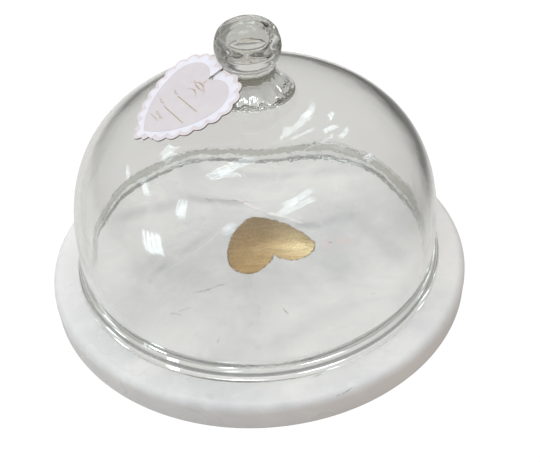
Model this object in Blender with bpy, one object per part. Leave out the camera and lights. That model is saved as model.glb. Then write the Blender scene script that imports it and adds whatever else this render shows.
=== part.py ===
"""A cake stand dome: a round marble board with a brass heart let into it, soft foot pads under it,
a blown glass dome with an applied glass knob, and a heart-shaped gift tag on a thread round the
knob's neck.

Metres, +Z up. The origin is the middle of the plane that the foot pads stand on, and -Y is the
front. Each moving group hangs from an empty on its joint's axis: the dome lifts along Z, the
thread turns round the neck, and the card swings on the thread.
"""

from math import acos, atan2, cos, pi, radians, sin, sqrt

import bmesh
import bpy
from mathutils import Matrix, Vector
from mathutils.geometry import interpolate_bezier

MM = 0.001
GAP = 0.3 * MM  # between pieces that touch or rest on each other

# The marble board
BOARD_RADIUS = 127 * MM
BOARD_THICKNESS = 18 * MM
BOARD_TOP_ROUNDING = 5 * MM
BOARD_FOOT_ROUNDING = 3 * MM
BOARD_SIDES = 72

# The foot pads
PAD_COUNT = 4
PAD_RADIUS = 8 * MM
PAD_DRAFT = 1 * MM  # how much narrower a pad is where it meets the table
PAD_HEIGHT = 2.2 * MM
PAD_CIRCLE_RADIUS = 95 * MM
PAD_FIRST_ANGLE = radians(45)
PAD_SIDES = 24

# A heart is two round lobes and two long side arcs: the lobes' radius, how far their centres are
# from the middle line, and the sides' radius, all as shares of its height
INLAY_SHAPE = (0.25, 0.24, 0.89)
CARD_SHAPE = (0.274, 0.224, 0.925)
LOBE_STEPS = 12
SIDE_STEPS = 7

# The brass inlay and the resin tray that it is bedded in
INLAY_HEIGHT = 55 * MM
INLAY_TIP = Vector((-1.5, 31.0)) * MM
INLAY_TURN = radians(193.5)  # from notch-away to how the heart lies on the board
INLAY_THICKNESS = 2.4 * MM
INLAY_PROUD = 0.2 * MM
INLAY_CHAMFER = 0.3 * MM
RESIN_WALL = 0.5 * MM
RESIN_BED = 0.6 * MM

# The glass dome, with heights above its rim
DOME_HEIGHT = 109.7 * MM
DOME_SPRING_HEIGHT = 14 * MM  # where the wall begins to curve in
DOME_WALL_RADIUS = 107.4 * MM
DOME_WALL = 4 * MM
DOME_CROWN = 4.5 * MM
DOME_ROUNDNESS = 2.64  # the exponent of the wall's superellipse: 2 is an ellipse
WAIST_RADIUS = 106.5 * MM
WAIST_HEIGHT = 11 * MM
BEAD_RADIUS = 111.5 * MM
BEAD_HEIGHT = 3.3 * MM
BEAD_WIDTH = 6.6 * MM
DOME_SIDES = 44
DOME_WALL_STEPS = 18
DOME_INNER_STEPS = 14
RIM_STEPS = 4

# The knob, which sits a little off the dome's axis, with heights above the crown
KNOB_PLACE = Vector((1.7, 1.8)) * MM
FOOT_RADIUS = 24.2 * MM
FOOT_EDGE = 0.9 * MM
NECK_RADIUS = 13.4 * MM
NECK_HEIGHT = 13 * MM
HEAD_RADIUS = 17.8 * MM
HEAD_HEIGHT = 25.5 * MM
KNOB_HEIGHT = 34.9 * MM
DISH_RADIUS = 14.2 * MM
DISH_DEPTH = 4.6 * MM
KNOB_LEAN = 0.17  # the slope of the knob's top, which starts at a height and grows
LEAN_FROM = 21 * MM
LEAN_OVER = 11 * MM
KNOB_GAP = 2 * GAP  # under the foot, because the crown isn't quite level off its axis
KNOB_SIDES = 36
KNOB_STEPS = 7

# The gift tag: its local Y runs from the tip to the notch, and its Z is the printed face
CARD_HEART = 48 * MM  # the printed heart, which the scalloped border follows
CARD_BORDER = 5.2 * MM
CARD_THICKNESS = 0.5 * MM
SCALLOPS = 23  # an odd number, so that one lies across the tip
SCALLOP_DEPTH = 1.1 * MM
SCALLOP_STEPS = 6
HOLE_PLACE = 44.9 * MM  # above the printed heart's tip
HOLE_RADIUS = 1.6 * MM
HOLE_SIDES = 20
HINGE_PLACE = 51 * MM  # the line that the card swings about, above the printed heart's tip
HINGE_POINT = Vector((-14.6, -5.2, 13.8)) * MM  # from the middle of the knob's foot
CARD_TURN = radians(-64)
CARD_PITCH = radians(23.2)
CARD_ROLL = radians(0.7)

# The thread, round the neck and through the card's hole
THREAD_RADIUS = 0.25 * MM
LOOP_HEIGHT = 12.6 * MM  # above the crown
LOOP_CLEARANCE = 0.6 * MM  # from the neck's glass to the thread's centreline
LOOP_FROM = 188  # degrees round the neck from +X, where the upper strand arrives
LOOP_TO = -149
LOOP_STEPS = 20
THREAD_POINTS = 76
# The strands' points on the card: across it, above the tip, and over its mid-plane
UPPER_STRAND = (
    (0, 44.9, -0.95),
    (0, 44.9, -0.1),
    (0, 45.4, 0.75),
    (0, 46.6, 1.1),
    (0, 48.4, 1.05),
    (-0.1, 50.2, 1.0),
    (-0.4, 51.6, 0.5),
)
LOWER_STRAND = ((1.6, 51.2, -1.9), (1.0, 49.2, -2.3), (0.3, 47.6, -2.4), (0, 46.35, -2.4))
KNOT_RADIUS = 1.1 * MM
KNOT_DROP = 2.4 * MM  # from the card's mid-plane to the knot's centre

BOARD_BOTTOM = PAD_HEIGHT + GAP
BOARD_TOP = BOARD_BOTTOM + BOARD_THICKNESS
RIM_LEVEL = BOARD_TOP + GAP
CROWN_LEVEL = RIM_LEVEL + DOME_HEIGHT
LOOP_CENTRE = Vector((*KNOB_PLACE, CROWN_LEVEL + LOOP_HEIGHT))


def clear_scene():
    for old in list(bpy.data.objects):
        bpy.data.objects.remove(old, do_unlink=True)


def material(name, color, roughness, metallic=0.0, transmission=0.0):
    """A Principled material with the given base colour and surface values."""
    made = bpy.data.materials.new(name)
    made.use_nodes = True
    shader = made.node_tree.nodes["Principled BSDF"]
    shader.inputs["Base Color"].default_value = (*color, 1)
    shader.inputs["Roughness"].default_value = roughness
    shader.inputs["Metallic"].default_value = metallic
    shader.inputs["Transmission Weight"].default_value = transmission
    made.diffuse_color = (*color, 1)
    return made


def add_object(name, mesh, finish=None, parent=None, location=(0, 0, 0)):
    """Links a mesh or curve as an object, in its parent's space if it has one."""
    made = bpy.data.objects.new(name, mesh)
    made.location = location
    made.parent = parent
    bpy.context.scene.collection.objects.link(made)
    if finish is not None:
        mesh.materials.append(finish)
    return made


def add_axis(name, location, rotation=(0, 0, 0), parent=None):
    """An empty on a joint's axis, which carries the pieces that move with it."""
    made = bpy.data.objects.new(name, None)
    made.location = location
    made.rotation_euler = rotation
    made.parent = parent
    bpy.context.scene.collection.objects.link(made)
    return made


def finish_mesh(name, bm, smooth_angle=radians(40)):
    """Turns a bmesh into a mesh with outward faces, smooth where its faces meet gently."""
    bmesh.ops.recalc_face_normals(bm, faces=bm.faces)
    mesh = bpy.data.meshes.new(name)
    bm.to_mesh(mesh)
    bm.free()
    mesh.shade_smooth()
    mesh.set_sharp_from_angle(angle=smooth_angle)
    return mesh


def turned_mesh(name, profile, sides):
    """Spins a profile of (radius, height) points, from pole to pole, about the Z axis."""
    bm = bmesh.new()
    points = [bm.verts.new((radius, 0, height)) for radius, height in profile]
    edges = [bm.edges.new(pair) for pair in zip(points, points[1:])]
    bmesh.ops.spin(bm, geom=points + edges, axis=(0, 0, 1), angle=2 * pi, steps=sides, use_merge=True)
    bmesh.ops.remove_doubles(bm, verts=bm.verts, dist=0.001 * MM)
    return finish_mesh(name, bm)


def prism_mesh(name, layers):
    """A closed solid through outlines of equal length, each with its height, bottom first."""
    bm = bmesh.new()
    loops = []
    for outline, height in layers:
        loops.append([bm.verts.new((point[0], point[1], height)) for point in outline])
    bm.faces.new(reversed(loops[0]))
    bm.faces.new(loops[-1])
    for lower, upper in zip(loops, loops[1:]):
        for i in range(len(lower)):
            bm.faces.new((lower[i - 1], lower[i], upper[i], upper[i - 1]))
    return finish_mesh(name, bm)


def arc(centre, radius, start, end, steps):
    """Points along an arc, both ends included; the angles are in radians."""
    turns = (start + (end - start) * i / steps for i in range(steps + 1))
    return [(centre[0] + radius * cos(turn), centre[1] + radius * sin(turn)) for turn in turns]


def curve_through(start, start_handle, end_handle, end, steps):
    """Points along a cubic curve in the radius and height plane, without its first point."""
    knots = (Vector((*point, 0)) for point in (start, start_handle, end_handle, end))
    return [(point.x, point.y) for point in interpolate_bezier(*knots, steps + 1)[1:]]


def heart_outline(height, shape, border=0.0):
    """A heart with its tip near the origin and its notch towards +Y, grown by a border. Its right
    half is a side arc that meets a lobe smoothly, and its left half mirrors it."""
    lobe, lobe_x, side = (share * height for share in shape)
    lobe_y = height - lobe
    reach = sqrt(lobe_x**2 + lobe_y**2)
    # The side arc's centre is one side radius from the tip, and (side - lobe) from the lobe's centre
    spread = acos((side**2 + reach**2 - (side - lobe) ** 2) / (2 * side * reach))
    turn = atan2(lobe_y, lobe_x) + spread
    side_x, side_y = side * cos(turn), side * sin(turn)
    meet = atan2(lobe_y - side_y, lobe_x - side_x)
    tip = -acos(-side_x / (side + border))
    notch = acos(-lobe_x / (lobe + border))
    right = arc((side_x, side_y), side + border, tip, meet, SIDE_STEPS)
    right += arc((lobe_x, lobe_y), lobe + border, meet, notch, LOBE_STEPS)[1:]
    return right + [(-x, y) for x, y in reversed(right[1:-1])]


def scalloped_outline(height, shape, border):
    """A grown heart whose edge is a row of equal scallops, from cusp to cusp at the notch."""
    base = [Vector(point) for point in heart_outline(height, shape, border)]
    notch = SIDE_STEPS + LOBE_STEPS
    base = base[notch:] + base[: notch + 1]
    lengths = [0.0]
    for before, after in zip(base, base[1:]):
        lengths.append(lengths[-1] + (after - before).length)
    outline, piece = [], 0
    for step in range(SCALLOPS * SCALLOP_STEPS):
        along = lengths[-1] * step / (SCALLOPS * SCALLOP_STEPS)
        while lengths[piece + 1] < along:
            piece += 1
        before, after = base[piece], base[piece + 1]
        share = (along - lengths[piece]) / (lengths[piece + 1] - lengths[piece])
        outward = Vector(((after - before).y, -(after - before).x)).normalized()
        rise = SCALLOP_DEPTH * (sin(pi * (step % SCALLOP_STEPS) / SCALLOP_STEPS) - 0.5)
        outline.append(before.lerp(after, share) + outward * rise)
    return outline


def make_board(finishes):
    """The slab with its pocket, and the resin tray and the brass heart that lie in it."""
    top, foot = BOARD_TOP_ROUNDING, BOARD_FOOT_ROUNDING
    profile = [(0, BOARD_THICKNESS)]
    profile += reversed(arc((BOARD_RADIUS - top, BOARD_THICKNESS - top), top, 0, pi / 2, 5))
    profile += arc((BOARD_RADIUS - foot, foot), foot, 0, -pi / 2, 4)
    profile.append((0, 0))
    board = add_object(
        "marble_base", turned_mesh("marble_base", profile, BOARD_SIDES), finishes["marble"]
    )
    board.location.z = BOARD_BOTTOM

    place = Matrix.Rotation(INLAY_TURN, 2)
    outline = {
        border: [
            INLAY_TIP + place @ Vector(point)
            for point in heart_outline(INLAY_HEIGHT, INLAY_SHAPE, border)
        ]
        for border in (-INLAY_CHAMFER, 0, GAP, GAP + RESIN_WALL, 2 * GAP + RESIN_WALL)
    }
    heart_bottom = BOARD_TOP + INLAY_PROUD - INLAY_THICKNESS
    bed_top = heart_bottom - GAP
    bed_bottom = bed_top - RESIN_BED
    pocket = outline[2 * GAP + RESIN_WALL]
    cutter = add_object(
        "pocket_cutter",
        prism_mesh("pocket_cutter", [(pocket, bed_bottom - GAP), (pocket, BOARD_TOP + 5 * MM)]),
    )
    cutter.hide_render = True
    cutter.display_type = "WIRE"
    cut = board.modifiers.new("heart_pocket", "BOOLEAN")
    cut.object = cutter
    cut.operation = "DIFFERENCE"

    wall, inside = outline[GAP + RESIN_WALL], outline[GAP]
    layers = [(wall, bed_bottom), (wall, BOARD_TOP - GAP), (inside, BOARD_TOP - GAP), (inside, bed_top)]
    add_object("inlay_resin", prism_mesh("inlay_resin", layers), finishes["resin"])

    heart_top = BOARD_TOP + INLAY_PROUD
    layers = [
        (outline[0], heart_bottom),
        (outline[0], heart_top - INLAY_CHAMFER),
        (outline[-INLAY_CHAMFER], heart_top),
    ]
    add_object("brass_heart", prism_mesh("brass_heart", layers), finishes["brass"])


def make_foot_pads(finishes):
    """Soft pads on a circle under the board, a little narrower where they meet the table."""
    profile = [
        (0, PAD_HEIGHT),
        (PAD_RADIUS, PAD_HEIGHT),
        (PAD_RADIUS, PAD_HEIGHT * 0.6),
        (PAD_RADIUS - PAD_DRAFT, 0),
        (0, 0),
    ]
    mesh = turned_mesh("foot_pad", profile, PAD_SIDES)
    mesh.materials.append(finishes["rubber"])
    for number in range(PAD_COUNT):
        turn = PAD_FIRST_ANGLE + 2 * pi * number / PAD_COUNT
        place = (PAD_CIRCLE_RADIUS * cos(turn), PAD_CIRCLE_RADIUS * sin(turn), 0)
        add_object(f"foot_pad_{number + 1}", mesh, location=place)


def superellipse(radius, rise, steps):
    """A quarter of a dome's profile above its spring height, from the pole down to the wall."""
    power = 2 / DOME_ROUNDNESS
    turns = (pi / 2 * (1 - step / steps) for step in range(steps + 1))
    return [(radius * cos(turn) ** power, DOME_SPRING_HEIGHT + rise * sin(turn) ** power) for turn in turns]


def crown_height(radius):
    """How high the dome's outer surface is above its rim, at a radius on the crown."""
    rise = DOME_HEIGHT - DOME_SPRING_HEIGHT
    across = (radius / DOME_WALL_RADIUS) ** (DOME_ROUNDNESS / 2)
    return DOME_SPRING_HEIGHT + rise * sqrt(1 - across**2) ** (2 / DOME_ROUNDNESS)


def make_dome(finishes, parent):
    """The glass shell: crown and wall, a waist above a rolled rim bead, and the inside."""
    rise = DOME_HEIGHT - DOME_SPRING_HEIGHT
    bead_middle = BEAD_RADIUS - BEAD_WIDTH / 2
    waist_handle = (WAIST_HEIGHT - BEAD_HEIGHT) * 0.45
    inner_wall = DOME_WALL_RADIUS - DOME_WALL
    profile = superellipse(DOME_WALL_RADIUS, rise, DOME_WALL_STEPS)
    profile.append((WAIST_RADIUS, WAIST_HEIGHT))
    profile += curve_through(
        (WAIST_RADIUS, WAIST_HEIGHT),
        (WAIST_RADIUS, WAIST_HEIGHT - waist_handle),
        (BEAD_RADIUS, BEAD_HEIGHT + waist_handle),
        (BEAD_RADIUS, BEAD_HEIGHT),
        RIM_STEPS,
    )
    profile += [
        (bead_middle + BEAD_WIDTH / 2 * cos(turn), BEAD_HEIGHT * (1 + sin(turn)))
        for turn in (-pi * step / (2 * RIM_STEPS) for step in range(1, 2 * RIM_STEPS + 1))
    ]
    profile += curve_through(
        (BEAD_RADIUS - BEAD_WIDTH, BEAD_HEIGHT),
        (BEAD_RADIUS - BEAD_WIDTH, BEAD_HEIGHT + waist_handle),
        (inner_wall, DOME_SPRING_HEIGHT - waist_handle),
        (inner_wall, DOME_SPRING_HEIGHT),
        RIM_STEPS,
    )
    inside = superellipse(inner_wall, rise - DOME_CROWN, DOME_INNER_STEPS)
    profile += inside[-2::-1]
    add_object("glass_dome", turned_mesh("glass_dome", profile, DOME_SIDES), finishes["glass"], parent)


def knob_side():
    """The knob's outside as (radius, height) points, from the rim of its dish down to its foot."""
    foot_height = crown_height(FOOT_RADIUS) - DOME_HEIGHT + KNOB_GAP + FOOT_EDGE
    shoulder = curve_through(
        (DISH_RADIUS, KNOB_HEIGHT),
        (DISH_RADIUS + 2.4 * MM, KNOB_HEIGHT),
        (HEAD_RADIUS, HEAD_HEIGHT + 5.2 * MM),
        (HEAD_RADIUS, HEAD_HEIGHT),
        KNOB_STEPS,
    )
    throat = curve_through(
        (HEAD_RADIUS, HEAD_HEIGHT),
        (HEAD_RADIUS, HEAD_HEIGHT - 6.2 * MM),
        (NECK_RADIUS, NECK_HEIGHT + 5 * MM),
        (NECK_RADIUS, NECK_HEIGHT),
        KNOB_STEPS,
    )
    flare = curve_through(
        (NECK_RADIUS, NECK_HEIGHT),
        (NECK_RADIUS, NECK_HEIGHT - 4.4 * MM),
        (FOOT_RADIUS - 5.4 * MM, foot_height + 3.6 * MM),
        (FOOT_RADIUS, foot_height),
        KNOB_STEPS,
    )
    return [(DISH_RADIUS, KNOB_HEIGHT)] + shoulder + throat + flare


def make_knob(finishes, parent):
    """The solid knob: a dished head, a neck, and a flared foot that follows the crown."""
    dish = curve_through(
        (0, KNOB_HEIGHT - DISH_DEPTH),
        (DISH_RADIUS * 0.55, KNOB_HEIGHT - DISH_DEPTH),
        (DISH_RADIUS * 0.75, KNOB_HEIGHT),
        (DISH_RADIUS, KNOB_HEIGHT),
        4,
    )
    profile = [(0, KNOB_HEIGHT - DISH_DEPTH)] + dish[:-1] + knob_side()
    for share in (1, 0.8, 0.6, 0.4, 0.2, 0):
        radius = FOOT_RADIUS * share
        profile.append((radius, crown_height(radius) - DOME_HEIGHT + KNOB_GAP))
    place = (*KNOB_PLACE, DOME_HEIGHT)
    mesh = turned_mesh("glass_knob", profile, KNOB_SIDES)
    # The top was pressed lower towards the front, so the dish faces the viewer a little
    bm = bmesh.new()
    bm.from_mesh(mesh)
    for vertex in bm.verts:
        share = min(max((vertex.co.z - LEAN_FROM) / LEAN_OVER, 0.0), 1.0)
        lean = KNOB_LEAN * share * share * (3 - 2 * share)
        vertex.co.z -= lean * (DISH_RADIUS - vertex.co.y)
    bmesh.ops.triangulate(bm, faces=bm.faces)
    bm.to_mesh(mesh)
    bm.free()
    add_object("glass_knob", mesh, finishes["glass"], parent, place)


def neck_radius_at(height):
    """The knob's radius at a height above the crown, between its foot and its neck."""
    side = knob_side()[-KNOB_STEPS - 1 :]
    for (upper_radius, upper), (lower_radius, lower) in zip(side, side[1:]):
        if lower <= height <= upper:
            share = (height - lower) / (upper - lower)
            return lower_radius + (upper_radius - lower_radius) * share
    return NECK_RADIUS


def make_card(finishes, parent):
    """The scalloped card with its punched hole, and the knot that lies behind the hole."""
    outline = scalloped_outline(CARD_HEART, CARD_SHAPE, CARD_BORDER)
    half = CARD_THICKNESS / 2
    card = add_object(
        "gift_tag", prism_mesh("gift_tag", [(outline, -half), (outline, half)]), finishes["card"], parent
    )
    card.location.y = -HINGE_PLACE
    punch_outline = arc((0, HOLE_PLACE), HOLE_RADIUS, 0, 2 * pi, HOLE_SIDES)[:-1]
    reach = 5 * CARD_THICKNESS
    punch = add_object(
        "hole_punch", prism_mesh("hole_punch", [(punch_outline, -reach), (punch_outline, reach)])
    )
    punch.parent = card
    punch.hide_render = True
    punch.display_type = "WIRE"
    cut = card.modifiers.new("punched_hole", "BOOLEAN")
    cut.object = punch
    cut.operation = "DIFFERENCE"

    bm = bmesh.new()
    bmesh.ops.create_icosphere(bm, subdivisions=2, radius=KNOT_RADIUS)
    place = (0, HOLE_PLACE - HINGE_PLACE, -KNOT_DROP)
    add_object("thread_knot", finish_mesh("thread_knot", bm), finishes["thread"], parent, place)


def smooth_route(points, count):
    """Evenly spaced points on the smooth curve through a route's own points."""
    padded = [points[0] * 2 - points[1], *points, points[-1] * 2 - points[-2]]
    fine = [points[0]]
    for before, start, end, after in zip(padded, padded[1:], padded[2:], padded[3:]):
        start_handle = start + (end - before) / 6
        end_handle = end - (after - start) / 6
        fine += interpolate_bezier(start, start_handle, end_handle, end, 13)[1:]
    lengths = [0.0]
    for before, after in zip(fine, fine[1:]):
        lengths.append(lengths[-1] + (after - before).length)
    route, piece = [], 0
    for step in range(count):
        along = lengths[-1] * step / (count - 1)
        while piece < len(fine) - 2 and lengths[piece + 1] < along:
            piece += 1
        share = (along - lengths[piece]) / (lengths[piece + 1] - lengths[piece])
        route.append(fine[piece].lerp(fine[piece + 1], share))
    return route


def thread_route(card_place):
    """The thread's line from the knot, up through the hole, over the card, round the neck and back
    under the card to the knot."""
    on_card = [
        [card_place @ (Vector((x, y, z)) * MM) for x, y, z in strand]
        for strand in (UPPER_STRAND, LOWER_STRAND)
    ]
    radius = neck_radius_at(LOOP_HEIGHT) + LOOP_CLEARANCE
    loop = []
    for step in range(LOOP_STEPS + 1):
        turn = radians(LOOP_FROM + (LOOP_TO - LOOP_FROM) * step / LOOP_STEPS)
        around = Vector((radius * cos(turn), radius * sin(turn), 0))
        loop.append(LOOP_CENTRE + around)
    return smooth_route(on_card[0] + loop + on_card[1], THREAD_POINTS)


def make_thread(finishes, parent, card_place):
    """One thread, as a round tube with filled ends along its route."""
    curve = bpy.data.curves.new("tag_thread", "CURVE")
    curve.dimensions = "3D"
    curve.bevel_depth = THREAD_RADIUS
    curve.bevel_resolution = 2
    curve.use_fill_caps = True
    route = thread_route(card_place)
    spline = curve.splines.new("POLY")
    spline.points.add(len(route) - 1)
    for point, place in zip(spline.points, route):
        point.co = (*(place - LOOP_CENTRE), 1)
    add_object("tag_thread", curve, finishes["thread"], parent)


def main():
    clear_scene()
    finishes = {
        "marble": material("white_marble", (0.80, 0.78, 0.77), 0.35),
        "brass": material("brushed_brass", (0.56, 0.39, 0.17), 0.32, metallic=1.0),
        "resin": material("bedding_resin", (0.78, 0.72, 0.62), 0.5),
        "rubber": material("clear_rubber", (0.62, 0.62, 0.60), 0.6),
        "glass": material("clear_glass", (0.90, 0.94, 0.91), 0.03, transmission=1.0),
        "card": material("pink_card", (0.86, 0.76, 0.78), 0.6),
        "thread": material("grey_thread", (0.36, 0.35, 0.35), 0.5),
    }
    make_board(finishes)
    make_foot_pads(finishes)
    lift_axis = add_axis("dome_lift_axis", (0, 0, RIM_LEVEL))
    make_dome(finishes, lift_axis)
    make_knob(finishes, lift_axis)
    turn_place = LOOP_CENTRE - Vector((0, 0, RIM_LEVEL))
    turn_axis = add_axis("tag_turn_axis", turn_place, parent=lift_axis)
    flip_place = HINGE_POINT - Vector((0, 0, LOOP_HEIGHT))
    flip_turn = (CARD_PITCH, CARD_ROLL, CARD_TURN)
    flip_axis = add_axis("tag_flip_axis", flip_place, flip_turn, turn_axis)
    make_card(finishes, flip_axis)
    bpy.context.view_layer.update()
    card_place = flip_axis.matrix_world @ Matrix.Translation((0, -HINGE_PLACE, 0))
    make_thread(finishes, turn_axis, card_place)


main()
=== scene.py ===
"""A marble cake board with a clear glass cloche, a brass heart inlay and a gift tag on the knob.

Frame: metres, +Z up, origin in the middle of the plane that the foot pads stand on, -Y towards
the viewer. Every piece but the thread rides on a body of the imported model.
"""

from math import acos, atan2, cos, exp, pi, radians, sin, sqrt

import bmesh
import bpy
from mathutils import Euler, Matrix, Vector, noise
from mathutils.geometry import interpolate_bezier

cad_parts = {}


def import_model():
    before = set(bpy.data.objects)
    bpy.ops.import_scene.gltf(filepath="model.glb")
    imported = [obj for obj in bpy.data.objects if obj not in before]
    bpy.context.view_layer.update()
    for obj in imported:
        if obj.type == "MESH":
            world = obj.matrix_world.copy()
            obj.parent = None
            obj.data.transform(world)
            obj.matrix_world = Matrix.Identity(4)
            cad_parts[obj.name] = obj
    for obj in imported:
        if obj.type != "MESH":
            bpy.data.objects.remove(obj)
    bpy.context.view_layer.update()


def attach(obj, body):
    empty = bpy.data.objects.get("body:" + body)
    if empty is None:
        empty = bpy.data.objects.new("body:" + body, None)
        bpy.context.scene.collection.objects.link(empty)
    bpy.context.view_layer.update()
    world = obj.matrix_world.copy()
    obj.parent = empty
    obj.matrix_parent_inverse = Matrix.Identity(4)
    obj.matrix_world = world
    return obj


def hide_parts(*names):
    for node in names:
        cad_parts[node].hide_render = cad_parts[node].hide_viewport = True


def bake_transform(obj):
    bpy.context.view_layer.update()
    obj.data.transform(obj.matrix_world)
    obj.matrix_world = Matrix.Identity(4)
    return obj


MM = 0.001
GAP = 0.3 * MM
SMOOTH_ANGLE = radians(40)  # faces that meet at less than this are shaded as one

# The board and the heart let into it
BOARD_RADIUS = 127 * MM
BOARD_THICKNESS = 18 * MM
BOARD_BOTTOM = 2.5 * MM
BOARD_TOP = BOARD_BOTTOM + BOARD_THICKNESS
TOP_ROUNDING = 5 * MM
FOOT_ROUNDING = 3 * MM
BOARD_SIDES = 200
HEART_HEIGHT = 55 * MM
HEART_SIDE_STEPS = 36
HEART_LOBE_STEPS = 48
HEART_SHAPE = (0.25, 0.24, 0.89)  # lobe radius, lobe offset and side radius, over the height
HEART_TIP = Vector((-1.5, 31.0)) * MM
HEART_TURN = radians(193.5)
HEART_THICKNESS = 2.4 * MM
HEART_PROUD = 0.2 * MM
RESIN_WALL = 0.5 * MM
RESIN_BED = 0.6 * MM

# The foot pads
PAD_RADIUS = 8 * MM
PAD_HEIGHT = 2.2 * MM
PAD_CIRCLE = 95 * MM

# The cloche, with heights above its rim
RIM_LEVEL = BOARD_TOP + GAP
DOME_HEIGHT = 109.7 * MM
SPRING_HEIGHT = 14 * MM
WALL_RADIUS = 107.4 * MM
WALL = 4 * MM
CROWN_WALL = 4.5 * MM
ROUNDNESS = 2.64
WAIST_RADIUS = 106.2 * MM
WAIST_HEIGHT = 12.2 * MM
RIM_RADIUS = 110.9 * MM
RIM_EDGE = 1.3 * MM
CROWN_LEVEL = RIM_LEVEL + DOME_HEIGHT
CLOCHE_SIDES = 200
CROWN_GAIN = 1.2 * MM  # the wall grows thicker towards the crown
GATHER = 2.4 * MM  # and is thicker still under the knob, off its middle
GATHER_PLACE = (9 * MM, -15 * MM)
GATHER_SPREAD = (22 * MM, 32 * MM)

# The knob, with heights above the crown
KNOB_PLACE = Vector((1.7, 1.8)) * MM
FOOT_RADIUS = 24.2 * MM
NECK_RADIUS = 13.4 * MM
NECK_HEIGHT = 13 * MM
HEAD_RADIUS = 17.8 * MM
HEAD_HEIGHT = 25.5 * MM
KNOB_HEIGHT = 34.9 * MM
CREST_RADIUS = 14.2 * MM
DISH_DEPTH = 4.6 * MM
KNOB_LEAN = 0.17  # the slope of its top towards the viewer, which starts at a height and grows
LEAN_FROM = 21 * MM
LEAN_OVER = 11 * MM

# The gift tag: its local Y runs from the tip to the notch, and its Z is the printed face
CARD_HEART = 48 * MM
CARD_SHAPE = (0.274, 0.224, 0.925)
CARD_BORDER = 5.2 * MM
CARD_THICKNESS = 0.5 * MM
FOIL_THICKNESS = 0.04 * MM
SCALLOPS = 23
SCALLOP_STEPS = 14
NECK_CLEARANCE = 14.1 * MM  # from the knob's axis to the card's edge
HOLE_PLACE = 44.9 * MM
HOLE_RADIUS = 1.6 * MM
HINGE_PLACE = 51 * MM
HINGE_POINT = Vector((-12.9, -3.4, 144.3)) * MM
CARD_ROTATION = (radians(23.2), radians(0.7), radians(-64))

# The thread
THREAD_RADIUS = 0.25 * MM
LOOP_HEIGHT = 12.6 * MM
LOOP_RADIUS = 14.0 * MM
LOOP_FROM, LOOP_TO = radians(188), radians(-149)
LOOP_STEPS = 20
THREAD_POINTS = 160
# Both strands are in the card's millimetres, with the loop round the neck between them
UPPER_STRAND = (
    (0, 44.9, -0.95),
    (0, 44.9, -0.1),
    (0, 45.4, 0.75),
    (0, 46.6, 1.1),
    (0, 48.4, 1.05),
    (-0.1, 50.2, 1.0),
    (-0.4, 51.6, 0.5),
)
LOWER_STRAND = ((1.6, 51.2, -1.9), (1.0, 49.2, -2.3), (0.3, 47.6, -2.4), (0, 46.35, -2.4))
KNOT_DROP = 2.4 * MM
KNOT_SIZE = 0.24 * MM
KNOT_STEPS = 72


# ---------------------------------------------------------------- shapes


def arc(centre, radius, start, end, steps):
    """Points along an arc, both ends included; the angles are in radians."""
    turns = (start + (end - start) * i / steps for i in range(steps + 1))
    return [(centre[0] + radius * cos(turn), centre[1] + radius * sin(turn)) for turn in turns]


def curves_through(start, *curves):
    """Points along joined cubic curves in the radius and height plane, without the first point.
    Each curve gives its two handles, its end and its number of steps."""
    points = []
    for start_handle, end_handle, end, steps in curves:
        knots = (Vector((*point, 0)) for point in (start, start_handle, end_handle, end))
        points += [(point.x, point.y) for point in interpolate_bezier(*knots, steps + 1)[1:]]
        start = end
    return points


def beside(point, x, y):
    """The place that is x and y millimetres away from a point."""
    return (point[0] + x * MM, point[1] + y * MM)


def raised(profile, level):
    return [(radius, level + height) for radius, height in profile]


def circle(centre, radius, count):
    return arc(centre, radius, 0, 2 * pi, count)[:-1]


def running_lengths(points):
    """How far along a line each of its points lies."""
    lengths = [0.0]
    for before, after in zip(points, points[1:]):
        lengths.append(lengths[-1] + (after - before).length)
    return lengths


def smoothstep(share):
    share = min(max(share, 0.0), 1.0)
    return share * share * (3 - 2 * share)


def heart_outline(height, shape, border=0.0):
    """A heart with its tip near the origin and its notch towards +Y, grown by a border."""
    lobe, lobe_x, side = (share * height for share in shape)
    lobe_y = height - lobe
    reach = sqrt(lobe_x**2 + lobe_y**2)
    spread = acos((side**2 + reach**2 - (side - lobe) ** 2) / (2 * side * reach))
    turn = atan2(lobe_y, lobe_x) + spread
    side_x, side_y = side * cos(turn), side * sin(turn)
    meet = atan2(lobe_y - side_y, lobe_x - side_x)
    tip = -acos(-side_x / (side + border))
    notch = acos(-lobe_x / (lobe + border))
    right = arc((side_x, side_y), side + border, tip, meet, HEART_SIDE_STEPS)
    right += arc((lobe_x, lobe_y), lobe + border, meet, notch, HEART_LOBE_STEPS)[1:]
    return right + [(-x, y) for x, y in reversed(right[1:-1])]


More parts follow.
